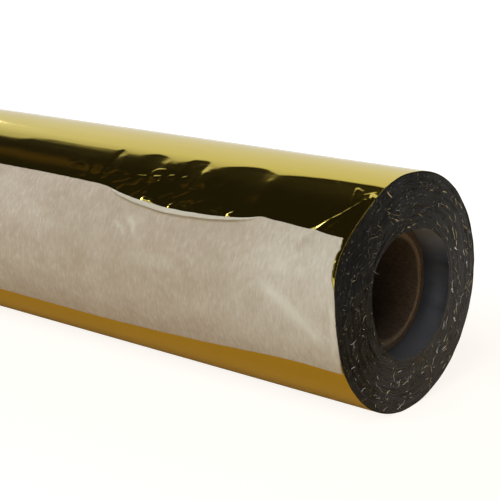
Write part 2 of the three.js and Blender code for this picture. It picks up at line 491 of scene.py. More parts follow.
# Where the tape's near end lies: (angle, s).
TAPE_NEAR_END = (
    (-32, 1), (-28, 0.9), (-21.5, 0.6), (-12, 0.55), (-3.5, 0.9), (4.6, 1.3), (12, 2.1),
    (16, 2.9), (19, 3.3), (24, 3.5), (28, 3.6), (32, 3.1), (37, 3.3), (42, 3.3),
)

# Pale streaks where the tape is stretched, and small pinched ridges: points (s, angle), half
# width and strength.
CORNER_PINCH = ((7.4, -3.4), (4.6, -7.6), (2.0, -11.5))
FARTHER_PINCH = ((69.0, 27.5), (66.0, 24.0), (65.0, 19.0))
FARTHEST_PINCH = ((73.5, 25.0), (70.0, 21.0), (68.5, 17.5))
TAPE_STREAKS = (
    (((23.5, 10.5), (18.2, 5.6), (12.7, -0.7), (7.7, -7.3), (4.8, -14)), 2, 0.62),
    (((14, 1.5), (8.5, -5.5), (6, -10.5)), 3.2, 0.42),
    (CORNER_PINCH, 0.35, 0.55),
    (((9, 31), (6.5, 22), (5.5, 12)), 3, 0.22),
    (((13.4, 20.6), (11, 17.2)), 1.5, 0.4),
    (((2.8, 10), (1.8, 0), (1.6, -12), (1.8, -22)), 0.6, 0.55),
    (FARTHER_PINCH, 0.8, 0.65),
    (FARTHEST_PINCH, 0.6, 0.5),
    (((47, 16), (44.5, 11)), 0.4, 0.25),
)
TAPE_PINCHES = (
    (((19.5, 12.6), (16.2, 19), (14.2, 25)), 0.45, 0.8),
    (((17.6, 14), (14.8, 20), (12.6, 26.4)), 0.4, 0.6),
    (((21.6, 15), (18.6, 20), (17, 24)), 0.4, 0.5),
    (CORNER_PINCH, 0.4, 0.9),
    (((11.5, -3), (8, -8.6), (5, -13)), 0.5, 0.5),
    (FARTHER_PINCH, 0.45, 0.5),
    (FARTHEST_PINCH, 0.4, 0.4),
)
PULLED_RANGES = ((6, 34, 8), (-16, 22, 9))  # where the tape is pulled into ridges
STRETCHED_RANGES = ((5, 30, 8), (-16, 22, 9))  # where it is pale with stretching
PAINTED_SHADE_RANGES = ((34, 88, 16), (2, 33, 12))  # where painted shade darkens the tape faintly


def strokes(s, angle, paths):
    """Soft strokes along paths, each with its half width and strength."""
    wander = 0.5 * film_noise(s, angle, 2.6, 2.6, 57)
    total = np.zeros(np.broadcast(s, angle).shape)
    for path, half_width, strength in paths:
        away, along = distance_to_path(s + wander, angle, path)
        ends = smooth(along, -0.01, 0.2) * (1 - smooth(along, 0.8, 1.01))
        stroke = strength * np.exp(-((away / half_width) ** 2)) * (0.35 + 0.65 * ends)
        total = np.maximum(total, stroke)
    return total


def tape_edges(s):
    """Angles of the tape's lower and upper edges, with their small unevenness."""
    uneven = 0.10 * noise(s / 1.7, 0.2, 0.7, 41) + 0.16 * noise(s / 11, 0.4, 0.1, 42)
    return curve_through(TAPE_BOTTOM, s) + 0.5 * uneven, curve_through(TAPE_TOP, s) + uneven


def stretch_streaks(s, angle):
    """Slanting streaks where the tape has been stretched, from 0 to 1."""
    arc = angle * DEGREE_ARC
    swing = 0.5 * film_noise(s, angle, 9, 9, 54)
    across = (s * 0.62 + arc * 0.78) / 3.4 + swing
    lengthways = (s * 0.78 - arc * 0.62) / 16
    return np.clip(1 - np.abs(noise(across, lengthways, 0.3, 53)), 0, 1) ** 3


def tape_wrinkles(s, angle):
    """Crepe running round the roll, and the soft wrinkles of tape that has been re-laid."""
    crepe = film_noise(s, angle, 0.9, 3.5, 51)
    soft = film_noise(s, angle, 9, 6, 52)
    pulled = patch(s, angle, *PULLED_RANGES) * stretch_streaks(s, angle)
    return 0.012 * crepe + 0.02 * soft + 0.02 * pulled + 0.12 * strokes(s, angle, TAPE_PINCHES)


def lip_height(s, from_top):
    """The narrow edge of the tape that was lifted, folded back on itself and pressed down."""
    width = curve_through(LIP_WIDTH, s) * (1 + 0.08 * noise(s / 6, 0.3, 0.3, 43))
    rise = 1 - smooth(from_top, width, width + LIP_RISE)
    level = LIP_LEVEL + (1 - LIP_LEVEL) * np.clip(from_top / (width + 0.01), 0, 1)
    return LIP_HEIGHT * smooth(width, 0, 0.9) * rise * level


def tape_clearance(s, angle):
    """How far folds in the tail lift the tape."""
    return (folds(s, angle) + crumples(s, angle)) * smooth(angle, 0, TAIL_EDGE + 2)


def tape_shape(s, share):
    """Points of the tape's outside and inside. share goes from 0 at the lower edge to 1."""
    low, high = tape_edges(s)
    angle = low + share * (high - low)
    step = smooth(angle, TAIL_EDGE - TAPE_STEP, TAIL_EDGE)
    on_turn = film_base(s, angle, angle + 360)
    on_tail = film_base(s, angle, angle)
    laid = on_turn * (1 - step) + on_tail * step + TAPE_GAP + tape_clearance(s, angle)
    inside = laid + lip_height(s, (high - angle) * DEGREE_ARC)
    outside = inside + TAPE_THICKNESS + tape_wrinkles(s, angle)
    return on_roll(s, angle, outside), on_roll(s, angle, inside)


def torn_end(share, coarse, fine, seed):
    """The unevenness of a torn end, from (height, count) of its coarse and fine teeth."""
    total = 0.0
    for number, (height, teeth) in enumerate((coarse, fine)):
        total = total + height * noise(share * teeth, 0.5, 0.5, seed + number)
    return total


def build_tape():
    """The strip of masking tape over the tail's edge, torn off at both ends."""
    places = stretches((0, 150, 0.5), (150, ROLL_LENGTH, 2.1))
    shares = np.concatenate([np.linspace(0, LIP_SHARE, 44), np.linspace(LIP_SHARE, 1, 29)[1:]])
    s, share = np.meshgrid(places, shares)
    near = curve_through(TAPE_NEAR_END, -30 + 67 * share) + torn_end(share, (0.16, 21), (0.14, 64), 61)
    far = TAPE_FAR + torn_end(share, (0.7, 17), (0.3, 50), 63)
    return sheet_body("tape_strip", *tape_shape(near + s / ROLL_LENGTH * (far - near), share))


# ---- the wound web's end faces

# The innermost turns have been pushed out of round at the near end: (angle, radius).
HOLE_RIM = (
    (-180, 17.2), (-160, 17.6), (-140, 17.7), (-121, 17.3), (-96, 16.5), (-74, 16.4), (-56, 15.6),
    (-31, 15.3), (-8, 15.8), (12, 16.7), (28, 17.5), (43, 17.4), (60, 16.8), (79, 16.1), (94, 15.7),
    (126, 16.6), (140, 17.1), (156, 17.4), (180, 17.2),
)

# The largest slivers on the near end: (angle, radius, heading, length, width), where heading is
# 0 for one that runs round the roll and 90 for one that points outwards.
LARGE_SLIVERS = (
    (-20, 16.5, 0, 3.6, 0.34), (29, 17.9, 90, 3.4, 0.13), (36, 18.6, 20, 1.3, 0.26),
    (38, 24.5, 30, 0.6, 0.34), (2, 22.8, 10, 1.5, 0.32), (74, 17.3, 20, 1.3, 0.36),
    (82, 17, -10, 0.9, 0.3), (90, 17.1, 15, 1.5, 0.3), (46, 23.5, -40, 4.6, 0.12),
    (62, 27.6, 90, 2, 0.24), (70, 27.4, -70, 2.2, 0.2), (71, 20.2, 60, 1.6, 0.2),
    (69, 20.9, -50, 1.4, 0.2), (-34, 27.2, 10, 1.7, 0.32), (-58, 24, -12, 7.5, 0.11),
    (-170, 18.9, 0, 1, 0.4), (159, 20.8, 0, 0.9, 0.34), (-151, 23.2, 30, 1.1, 0.34),
    (-15, 20.9, 50, 1.6, 0.16), (-11, 20.4, 60, 1.5, 0.14), (-41, 18.6, 0, 0.8, 0.26),
    (120, 26.4, 10, 1.3, 0.22), (175, 25.3, -20, 1.5, 0.24), (-125, 21.6, 15, 1.2, 0.26),
)


def inward(end):
    """Which way s leads into the roll from an end: 1 or -1."""
    return 1 if end == 0 else -1


def stand_back(end, angle, radius):
    """How far the outer turns stand back at an end, which is nothing at the far one."""
    if end != 0:
        return 0.0
    return curve_round(NEAR_STAND_BACK, angle) * smooth(radius, *STAND_BACK_RADII)


def end_relief(radius, angle, seed):
    """How far the film's edges stand back at a place on an end face."""
    wander = 0.8 * round_noise(0.0, angle, radius, 1, 9, seed + 4)
    turns = noise(radius / 0.42 + wander, 0.5, 0.5, seed)
    swirl = round_noise(radius / 0.8, angle, radius, 1, 6.5, seed + 1)
    nicks = np.clip(round_noise(radius / 0.6, angle, radius, 1, 1.6, seed + 2) - 0.45, 0, 1)
    return 0.20 + 0.11 * turns + 0.16 * swirl + 0.5 * nicks


def end_ring(end, angle, radius, seed):
    """One ring of film edges on an end face."""
    back = end_relief(radius, angle, seed) + stand_back(end, angle, radius)
    follows = smooth(radius, *SLACK_RADII) * slack(np.full(angle.shape, end), angle)
    uneven = 0.025 * round_noise(end, angle, radius, 1, 3, seed + 7)
    return on_roll(end + inward(end) * back, angle, radius + follows + uneven)


def hole_radius(s, angle, inner):
    """Radius of the web's hole near the near end, where it is out of round."""
    loose = curve_round(HOLE_RIM, angle) + 0.12 * round_noise(s, angle, inner, 3, 2.5, 78)
    return inner + (loose - inner) * (1 - smooth(s, 0.5, CORE_RECESS - 0.9))


def band_profile(inner, outer, body_outer):
    """Rings of one band of turns: near end face, outside, far end face and inside."""
    angle = np.arange(BAND_SEGMENTS) * 360.0 / BAND_SEGMENTS
    innermost = inner == BAND_RADII[0]
    near_inner = hole_radius(0.0, angle, inner) if innermost else inner
    near, far = [], []
    for share in np.linspace(0, 1, BAND_RINGS):
        near.append(end_ring(0.0, angle, near_inner + share * (outer - near_inner), 71))
        far.append(end_ring(ROLL_LENGTH, angle, inner + share * (outer - inner), 81))
    shoulders = [on_roll(s, angle, body_outer) for s in BAND_SHOULDERS]
    lining = [on_roll(s, angle, inner) for s in HOLE_PLACES[:2]]
    if innermost:
        lining += [on_roll(s, angle, hole_radius(s, angle, inner)) for s in HOLE_PLACES[2:]]
    return np.stack(near + shoulders + far[::-1] + lining)


def build_bands():
    """The web, as six bands of turns, one inside another."""
    bands = []
    last = len(BAND_RADII) - 2
    for number, (inner, outer) in enumerate(zip(BAND_RADII[:-1], BAND_RADII[1:])):
        body_outer = BAND_BODY_RADIUS if number == last else outer - BAND_GAP
        profile = band_profile(inner, outer - BAND_GAP, body_outer)
        bands.append(lathe_body(f"turns_{number + 1}", profile))
    return bands


def sliver_points(end, radius, angle, heading, length, width, lift, curl):
    """A hair-thin curved strip on an end face, as (stations, 4, 3) points. heading is in radians."""
    t = np.linspace(-0.5, 0.5, SLIVER_STATIONS)
    turn = math.radians(angle)
    centre = np.array([-radius * math.cos(turn), radius * math.sin(turn)])
    round_way = np.array([math.sin(turn), math.cos(turn)])
    out_way = np.array([-math.cos(turn), math.sin(turn)])
    run = math.cos(heading) * round_way + math.sin(heading) * out_way
    side = np.array([-run[1], run[0]])
    path = centre + length * t[:, None] * run + (curl * length * (t ** 2 - 0.08))[:, None] * side
    height = SLIVER_THICKNESS - stand_back(end, angle, radius) + lift * smooth(t, -0.2, 0.5)
    half = 0.5 * width * (1 - 0.75 * (2 * np.abs(t)) ** 3)
    corners = []
    for across, deep in ((-1, 0), (1, 0), (1, 1), (-1, 1)):
        edge = path + (across * half)[:, None] * side
        s = end - inward(end) * (height - SLIVER_THICKNESS * deep + 0.25 * width * across)
        corners.append(np.column_stack([HALF_LENGTH - s, edge]))
    return np.stack(corners, axis=1)


def sliver_quads(first):
    """The quads of a four-sided strip, its two ends closed."""
    quads = []
    for i in range(SLIVER_STATIONS - 1):
        for k in range(4):
            a, b = first + 4 * i + k, first + 4 * i + (k + 1) % 4
            quads.append((a, b, b + 4, a + 4))
    last = first + 4 * (SLIVER_STATIONS - 1)
    quads.append((first + 3, first + 2, first + 1, first))
    quads.append((last, last + 1, last + 2, last + 3))
    return quads


def large_slivers(end, random):
    """The slivers that have places of their own, on the near end alone."""
    for angle, radius, heading, length, width in LARGE_SLIVERS if end == 0 else ():
        curl = random.normal(0, 0.12)
        yield sliver_points(end, radius, angle, math.radians(heading), length, width, 0.35, curl)


def scattered_slivers(end, random):
    """Slivers strewn over an end face. Most run round the roll and some point outwards."""
    for _ in range(SLIVER_COUNT):
        radius = math.sqrt(random.uniform(*(r ** 2 for r in SLIVER_RADII)))
        heading = random.normal(0.0, 0.5) + (math.pi / 2 if random.random() < 0.16 else 0.0)
        length = random.uniform(0.5, 2.5) * (1.6 if random.random() < 0.12 else 1.0)
        room = min(radius - SLIVER_LIMITS[0], SLIVER_LIMITS[1] - radius)
        if abs(math.sin(heading)) * length / 2 > room:
            heading *= 0.2
            length = min(length, 2.4)
        angle = random.uniform(0, 360)
        width = random.uniform(0.035, 0.10)
        lift = random.uniform(0.0, 0.4)
        curl = random.normal(0, 0.35)
        yield sliver_points(end, radius, angle, heading, length, width, lift, curl)


def build_slivers(name, end, seed):
    """Slivers of slit film that cling to an end face."""
    random = np.random.default_rng(seed)
    strips = [*large_slivers(end, random), *scattered_slivers(end, random)]
    quads = []
    for number in range(len(strips)):
        quads += sliver_quads(4 * SLIVER_STATIONS * number)
    points = np.concatenate(strips).reshape(-1, 3)
    return mesh_piece(name, points, np.array(quads), crease_angle=70)


# ---- the core


def ply_profile(number):
    """Rings of one wound ply of the board core. The innermost has the groove of a spiral seam."""
    angle = np.arange(CORE_SEGMENTS) * 360.0 / CORE_SEGMENTS
    inner = CORE_BORE_RADIUS + number * PLY_PITCH
    outer = inner + PLY_PITCH - PLY_GAP
    corner = inner + PLY_CHAMFER
    near, far = CORE_RECESS, ROLL_LENGTH - CORE_RECESS
    rough = 0.16 * round_noise(0.0, angle, inner, 1, 7, 90)
    rough = rough + 0.1 * round_noise(0.0, angle, inner, 1, 1.4, 91 + number)
    back = rough + 0.03 * (number % 2)
    ends = ((near, corner, 1), (near, outer, 1), (far, outer, -1), (far, corner, -1))
    rings = [on_roll(s + toward * back, angle, radius) for s, radius, toward in ends]
    if number > 0:
        return np.stack(rings + [on_roll(s, angle, inner) for s in (far - 1.0, near + 1.0)])
    for s in np.arange(far - 2.0, near + 1.0, -4.0):
        seam = (angle + s * 360 / SEAM_LEAD) % 360
        groove = SEAM_DEPTH * np.exp(-((seam - 180) / SEAM_WIDTH) ** 2)
        rings.append(on_roll(s, angle, inner + groove))
    return np.stack(rings)


def build_core():
    """The plies, from the bore outwards."""
    return [lathe_body(f"core_wrap_{n + 1}", ply_profile(n)) for n in range(len(PLY_PAINTED_LIGHT_AND_SHADE))]


# ---- materials

GOLD_DEEP, GOLD_LIGHT = (0.80, 0.63, 0.105), (0.85, 0.685, 0.14)
EDGE_LINES = 5200.0  # about how many dark and light rings there are to a metre of radius
# film edge tones: the first darker with painted shade for the front and top, the second paler with
# painted light for the back and bottom
EDGES_IN_PAINTED_SHADE = ((0.002, 0.002, 0.002), (0.006, 0.006, 0.006), (0.044, 0.042, 0.033))
EDGES_IN_PAINTED_LIGHT = ((0.016, 0.016, 0.018), (0.046, 0.047, 0.052), (0.200, 0.205, 0.215))
EDGE_GLINT = (0.30, 0.26, 0.16)
LINING_DARK, LINING_LIGHT = (0.030, 0.033, 0.039), (0.058, 0.062, 0.073)
# painted light for the hole's wall: paler at its top, and a little paler at its bottom
LINING_PAINTED_LIGHT_TOP, LINING_PAINTED_LIGHT_BOTTOM = (0.36, 0.37, 0.41), (0.085, 0.088, 0.096)
SLIVER_TONES = ((0.62, 0.62, 0.58), (0.70, 0.66, 0.50), (0.76, 0.65, 0.28))
PAPER_TONES = ((0.354, 0.296, 0.226), (0.385, 0.330, 0.257), (0.415, 0.367, 0.294))
PAPER_NEAR_END, PAPER_CLOUD = (0.430, 0.400, 0.322), (0.40, 0.33, 0.265)
# painted shade for the crepe's valleys and painted light for its ridges
CREPE_VALLEY_SHADE, CREPE_RIDGE_LIGHT = (0.27, 0.22, 0.16), (0.55, 0.51, 0.43)
# the second tone is painted shade, under the tape's lip and over a patch of the tape
PAPER_PALE, PAINTED_SHADE_TONE = (0.56, 0.555, 0.465), (0.25, 0.205, 0.115)
BOARD_DARK, BOARD_LIGHT = (0.050, 0.031, 0.017), (0.125, 0.085, 0.050)
STARTER_DARK, STARTER_LIGHT = (0.50, 0.48, 0.42), (0.68, 0.66, 0.60)
# painted shadow with a painted gold tint round the roll, for the floor that lights it and shows in its
# film, grey farther out
MIRRORED_FLOOR_SHADE_TONES = (  # distance from the roll in metres, colour
    (0.012, (0.325, 0.212, 0.070)), (0.035, (0.445, 0.295, 0.091)),
    (0.085, (0.465, 0.316, 0.121)), (0.17, (0.64, 0.63, 0.61)),
)
WHITE = (1.0, 1.0, 1.0)


class Nodes:
    """A node tree, with short ways to add and join its nodes."""

    def __init__(self, tree):
        self.tree = tree

    def give(self, socket, value):
        if isinstance(value, bpy.types.NodeSocket):
            self.tree.links.new(value, socket)
        elif socket.type == "RGBA":
            socket.default_value = (*value, 1)
        else:
            socket.default_value = value

    def node(self, kind, inputs=(), **settings):
        made = self.tree.nodes.new(kind)
        for key, value in settings.items():
            setattr(made, key, value)
        for key, value in dict(inputs).items():
            self.give(made.inputs[key], value)
        return made

    def math(self, operation, *values):
        return self.node("ShaderNodeMath", enumerate(values), operation=operation).outputs[0]

    def parts(self, vector):
        """The X, Y and Z of a vector."""
        return self.node("ShaderNodeSeparateXYZ", {0: vector}).outputs

    def ramp(self, factor, *stops):
        """A colour or grey that changes with factor, from (position, colour) stops."""
        made = self.node("ShaderNodeValToRGB", {"Fac": factor})
        elements = made.color_ramp.elements
        while len(elements) < len(stops):
            elements.new(0.5)
        for element, (position, colour) in zip(elements, stops):
            element.position = position
            element.color = (*(colour if isinstance(colour, tuple) else (colour,) * 3), 1)
        return made.outputs["Color"]

    def mix(self, factor, first, second):
        inputs = {"Factor": factor, 6: first, 7: second}
        return self.node("ShaderNodeMix", inputs, data_type="RGBA").outputs[2]


class Shader(Nodes):
    """The nodes of a new material. Its places are in metres."""

    def __init__(self, name):
        self.material = bpy.data.materials.new(name)
        self.material.use_nodes = True
        super().__init__(self.material.node_tree)
        self.surface = self.tree.nodes["Principled BSDF"]
        self.place = self.node("ShaderNodeTexCoord").outputs["Object"]

    def finish(self, **values):
        """Gives the surface its values, and returns the material."""
        for key, value in values.items():
            self.give(self.surface.inputs[key.replace("_", " ")], value)
        return self.material

    def scaled(self, *factors):
        """The place, stretched by a factor along each axis."""
        inputs = {"Vector": self.place, "Scale": factors}
        return self.node("ShaderNodeMapping", inputs).outputs["Vector"]

    def distance(self, *factors):
        """The stretched place's distance from the roll's middle."""
        inputs = {0: self.scaled(*factors)}
        return self.node("ShaderNodeVectorMath", inputs, operation="LENGTH").outputs["Value"]

    def noise(self, *bumps, detail=3.0, roughness=0.5):
        """Noise from 0 to 1, with about so many bumps to a metre along each axis."""
        inputs = {"Vector": self.scaled(*bumps), "Scale": 1.0, "Detail": detail, "Roughness": roughness}
        return self.node("ShaderNodeTexNoise", inputs).outputs["Fac"]

    def spread(self, noise, low, high):
        """From low to high over the middle of a noise."""
        return self.ramp(noise, (0.3, low), (0.7, high))

    def attribute(self, name):
        return self.node("ShaderNodeAttribute", attribute_name=name).outputs["Fac"]

    def bump(self, height, distance, strength):
        inputs = {"Height": height, "Distance": distance, "Strength": strength}
        return self.node("ShaderNodeBump", inputs).outputs["Normal"]


def gold_film_material():
    """Metallised film: a mirror with drawn-out haze, hairline scuffs and slight waviness."""
    shader = Shader("gold_film")
    haze = shader.noise(14, 420, 420, detail=4, roughness=0.6)
    scuffs = shader.math("MULTIPLY", shader.noise(30, 1500, 1500, detail=2), 0.5)
    relief = shader.math("ADD", scuffs, shader.noise(160, 260, 260, detail=2))
    return shader.finish(
        Base_Color=shader.spread(shader.noise(9, 60, 60), GOLD_DEEP, GOLD_LIGHT),
        Metallic=1.0,
        Roughness=shader.math("MULTIPLY_ADD", haze, 0.10, 0.045),
        Normal=shader.bump(relief, 0.00003, 0.5),
    )


def film_edge_material():
    """The end of the wound web: dark film edges in fine rings, with painted light low at the back and
    painted shade high at the front.
    """
    shader = Shader("film_edges")
    wander = shader.math("MULTIPLY", shader.noise(60, 240, 240), 0.0011)
    turns = shader.math("MULTIPLY", shader.math("ADD", shader.distance(0, 1, 1), wander), EDGE_LINES)
    inputs = {"W": turns, "Scale": 1.0, "Detail": 3.0, "Roughness": 0.7}
    lines = shader.node("ShaderNodeTexNoise", inputs, noise_dimensions="1D").outputs["Fac"]
    shaded_edges, lit_edges = (
        shader.ramp(lines, *zip((0.32, 0.54, 0.76), tones)) for tones in (EDGES_IN_PAINTED_SHADE, EDGES_IN_PAINTED_LIGHT)
    )
    clouds = shader.noise(90, 130, 130, detail=4, roughness=0.6)
    # Painted light and shade: the edges turn paler towards the back and the bottom, and stay darker
    # towards the front and the top.
    place = shader.parts(shader.place)
    lower_back = shader.math("SUBTRACT", place["Y"], place["Z"])
    painted_light_share = shader.math("ADD", shader.math("MULTIPLY", lower_back, 11.0), clouds)
    lit_and_shaded = shader.mix(shader.ramp(painted_light_share, (0.40, 0.0), (0.78, 1.0)), shaded_edges, lit_edges)
    glints = shader.ramp(shader.noise(900, 1500, 1500, detail=2), (0.64, 0.0), (0.74, 0.6))
    return shader.finish(
        Base_Color=shader.mix(glints, lit_and_shaded, EDGE_GLINT),
        Metallic=shader.ramp(lines, (0.5, 0.0), (0.8, 0.5)),
        Roughness=shader.spread(clouds, 0.34, 0.55),
        Specular_IOR_Level=0.16,
        Normal=shader.bump(lines, 0.00020, 0.9),
    )


def film_lining_material():
    """The grey back of the innermost turns, seen in the recess above the core, with painted light at
    its top and bottom.
    """
    shader = Shader("film_lining")
    haze = shader.noise(60, 150, 150, detail=4, roughness=0.6)
    tone = shader.spread(haze, LINING_DARK, LINING_LIGHT)
    # Painted light: the wall turns paler towards the top and the bottom of the hole.
    height = shader.parts(shader.place)["Z"]
    for way, over in ((1.0, LINING_PAINTED_LIGHT_TOP), (-1.0, LINING_PAINTED_LIGHT_BOTTOM)):
        share = shader.ramp(shader.math("MULTIPLY", height, way), (0.006, 0.0), (0.016, 1.0))
        tone = shader.mix(share, tone, over)
    return shader.finish(
        Base_Color=tone,
        Metallic=0.35,
        Roughness=shader.spread(haze, 0.30, 0.45),
        Normal=shader.bump(haze, 0.0003, 0.4),
    )


def sliver_material():
    """Slivers of slit film, silver on one side and gold on the other."""
    shader = Shader("film_slivers")
    tone = shader.noise(700, 700, 700, detail=1)
    return shader.finish(
        Base_Color=shader.ramp(tone, *zip((0.42, 0.56, 0.68), SLIVER_TONES)),
        Metallic=0.7,
        Roughness=shader.spread(tone, 0.18, 0.36),
    )


def masking_tape_material():
    """Creped beige paper with a soft mottle, painted light and shade on its crepe, and painted shade
    laid on.
    """
    shader = Shader("masking_tape")
    mottle = shader.noise(130, 170, 170, detail=5, roughness=0.62)
    cloud = shader.noise(16, 40, 40, detail=2)
    crepe = shader.noise(1500, 520, 520, roughness=0.6)
    fibre = shader.noise(2600, 2600, 2600, detail=2)
    along = shader.parts(shader.place)["X"]
    layers = (
        (shader.ramp(along, (0.276, 0.0), (0.308, 0.65)), PAPER_NEAR_END),
        (shader.ramp(cloud, (0.35, 0.0), (0.7, 0.3)), PAPER_CLOUD),
        # Painted shade in the crepe's valleys and painted light on its ridges, from the noise that also
        # bumps them.
        (shader.ramp(crepe, (0.36, 0.30), (0.54, 0.0)), CREPE_VALLEY_SHADE),
        (shader.ramp(crepe, (0.56, 0.0), (0.72, 0.38)), CREPE_RIDGE_LIGHT),
        (shader.attribute("pale"), PAPER_PALE),
        # painted shade, darkening the tape
        (shader.math("MULTIPLY", shader.attribute("painted_shade"), 0.75), PAINTED_SHADE_TONE),
    )
    colour = shader.ramp(mottle, *zip((0.32, 0.50, 0.70), PAPER_TONES))
    for share, over in layers:
        colour = shader.mix(share, colour, over)
    grain = shader.math("ADD", crepe, shader.math("MULTIPLY", fibre, 0.35))
    return shader.finish(
        Base_Color=colour,
        Roughness=shader.spread(mottle, 0.74, 0.58),
        Normal=shader.bump(grain, 0.00012, 0.7),
        Sheen_Weight=0.08,
    )


def core_board_material(name, light):
    """Brown kraft board, with fibres and darker patches; light scales it as painted light and shade."""
    shader = Shader(name)
    fibres = shader.noise(900, 2200, 2200, detail=4, roughness=0.65)
    patches = shader.ramp(shader.noise(90, 200, 200), (0.4, 0.0), (0.75, 0.5))
    dark, pale = (tuple(c * light for c in colour) for colour in (BOARD_DARK, BOARD_LIGHT))
    return shader.finish(
        Base_Color=shader.mix(patches, shader.spread(fibres, dark, pale), dark),
        Roughness=shader.spread(fibres, 0.9, 0.75),
        Normal=shader.bump(fibres, 0.00025, 0.8),
    )


def core_tape_material():
    """The pale paper tape that starts the web on the core."""
    shader = Shader("core_tape")
    fibres = shader.noise(1400, 1400, 1400)
    return shader.finish(
        Base_Color=shader.spread(fibres, STARTER_DARK, STARTER_LIGHT),
        Roughness=shader.spread(fibres, 0.8, 0.65),
        Normal=shader.bump(fibres, 0.0001, 0.6),
    )


def glowing_material(name, grey, glow):
    """A plain matt surface that also gives off white light."""
    return Shader(name).finish(
        Base_Color=(grey, grey, grey),
        Roughness=0.9,
        Specular_IOR_Level=0.0,
        Emission_Color=WHITE,
        Emission_Strength=glow,
    )


def mirrored_floor_shade_material():
    """What lights the roll from below and shows in its film: painted shadow with a painted gold tint
    close round it, grey farther out.
    """
    shader = Shader("studio_floor_painted_shade")
    colour = shader.ramp(shader.distance(0.2, 1, 0), *MIRRORED_FLOOR_SHADE_TONES)
    return shader.finish(Base_Color=colour, Roughness=0.9, Specular_IOR_Level=0.0)


def coat(piece, material):
    piece.data.materials.clear()
    piece.data.materials.append(material)


def paint(piece, material):
    coat(piece, material)


def line_hole(band):
    """Gives the wall of the web's hole its own material."""
    band.data.materials.append(film_lining_material())
    for face in band.data.polygons:
        faces_inwards = abs(face.normal.x) < 0.45
        if faces_inwards and face.center.yz.length < HOLE_WALL_RADIUS * MM:
            face.material_index = 1


def mark_pale_places(tape):
    """Stores where the tape is stretched pale, and where painted shade darkens it, for its material."""
    points = np.array([v.co for v in tape.data.vertices]) / MM
    s = HALF_LENGTH - points[:, 0]
    angle = np.degrees(np.arctan2(points[:, 2], -points[:, 1]))
    from_top = (tape_edges(s)[1] - angle) * DEGREE_ARC
    width = curve_through(LIP_WIDTH, s)
    on_lip = (1 - smooth(from_top, width - 0.05, width + 0.1)) * smooth(width, 0.1, 0.5)
    blots = smooth(noise(s / 6, angle / 9, 0.5, 55), 0.25, 0.8) * between(s, 0, 70, 30) * 0.15
    pale = 0.22 * patch(s, angle, *STRETCHED_RANGES) * stretch_streaks(s, angle) + blots
    pale = np.clip(np.maximum(pale, strokes(s, angle, TAPE_STREAKS)) + 0.5 * on_lip, 0, 1)
    # Painted shade: a dark line just under the lip, where its shadow falls, and a faint darker patch.
    by_lip = between(from_top, width + 0.15, width + 0.45, 0.25) * smooth(width, 0.1, 0.9)
    painted_shade = np.maximum(by_lip, 0.28 * patch(s, angle, *PAINTED_SHADE_RANGES))
    for name, values in (("pale", pale), ("painted_shade", painted_shade)):
        attribute = tape.data.attributes.new(name, "FLOAT", "POINT")
        attribute.data.foreach_set("value", values.astype(np.float32))


# ---- the object


def on_hinge_arc(angle):
    """A point of the film's outside, in metres."""
    return tuple(on_roll(HALF_LENGTH, angle, FILM_RADIUS) * MM)


def add_film():
    gold = gold_film_material()
    film = build_last_turn()
    paint(film, gold)
    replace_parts(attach(film, "roll"), "web_last_turn")

    tail = build_tail()
    paint(tail, gold)
    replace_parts(tail, "web_tail")
    on_hinge_arc(TAIL_HINGE)
    on_hinge_arc(TAIL_FOLLOWS_FROM)
    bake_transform(tail)


def add_tape():
    tape = build_tape()
    mark_pale_places(tape)
    paint(tape, masking_tape_material())
    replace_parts(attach(tape, "tail"), "masking_tape")


def add_bands():
    edges = film_edge_material()
    for number, band in enumerate(build_bands(), start=1):
        paint(band, edges)
        if number == 1:
            line_hole(band)
        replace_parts(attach(band, "roll"), f"web_band_{number}")


def add_core():
    # Each ply gets its own copy of the board, lighter or darker as painted light and shade.
    for number, (ply, ply_painted_light) in enumerate(zip(build_core(), PLY_PAINTED_LIGHT_AND_SHADE), start=1):
        paint(ply, core_board_material(f"core_board_{number}", ply_painted_light))
        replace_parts(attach(ply, "roll"), f"core_ply_{number}")
    coat(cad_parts["core_tape"], core_tape_material())


def add_slivers():
    material = sliver_material()
    for name, end, seed in (("edge_slivers_near", 0.0, 7), ("edge_slivers_far", ROLL_LENGTH, 8)):
        piece = build_slivers(name, end, seed)
        paint(piece, material)
        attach(piece, "roll")


# ---- studio

# Places and sizes here are in metres, and directions are where the light comes from.
CAMERA_PLACE = (0.48778, -0.26274, 0.09091)
CAMERA_TURN = (75.493, 0.0, 39.691)
CAMERA_LENS = 96.81
FLOOR_RADIUS = 12.0
FLOOR_SIDES = 96
SUNS = (  # name, direction, strength, how many degrees wide
    ("key", (0.10, -0.79, 0.61), 2.55, 50),
    ("fill", (-0.1, 0.45, 0.9), 1.1, 80),
)
PANELS = (  # name, place, size, watts
    ("glint_light", (-2.9, 0.0, 0.75), (1.5, 0.9), 20.0),
    ("crease_light", (-2.52, 1.25, 1.19), (0.7, 0.6), 6.4),
    ("crumple_light", (-2.55, -1.73, 0.90), (0.8, 0.8), 10.0),
)
SWEEP_TOP = 67.5  # up to here the studio is bright, turning up from the back (+Y)
SWEEP_SOFTNESS = 40.0  # over how many degrees its tones change
LOW_WALL_TOP = 0.27  # and up to this height of direction all round
SWEEP_TONES = (  # from well inside the bright sweep to well inside the dark ceiling
    (0.10, (0.72, 0.72, 0.73)), (0.34, (0.69, 0.69, 0.68)), (0.44, (0.57, 0.57, 0.55)),
    (0.482, (0.47, 0.46, 0.41)), (0.515, (0.026, 0.023, 0.020)), (0.70, (0.014, 0.0125, 0.012)),
)
GLOW_TURN = 94.5  # where a faint warm glow lies under the ceiling
GLOW_HALF_WIDTH = 8.5  # in degrees
GLOW_EAST = -0.655  # the glow is only where the direction is further west than this
GLOW_TONE = (0.060, 0.040, 0.022)
HORIZON_TONE = (0.90, 0.90, 0.90)


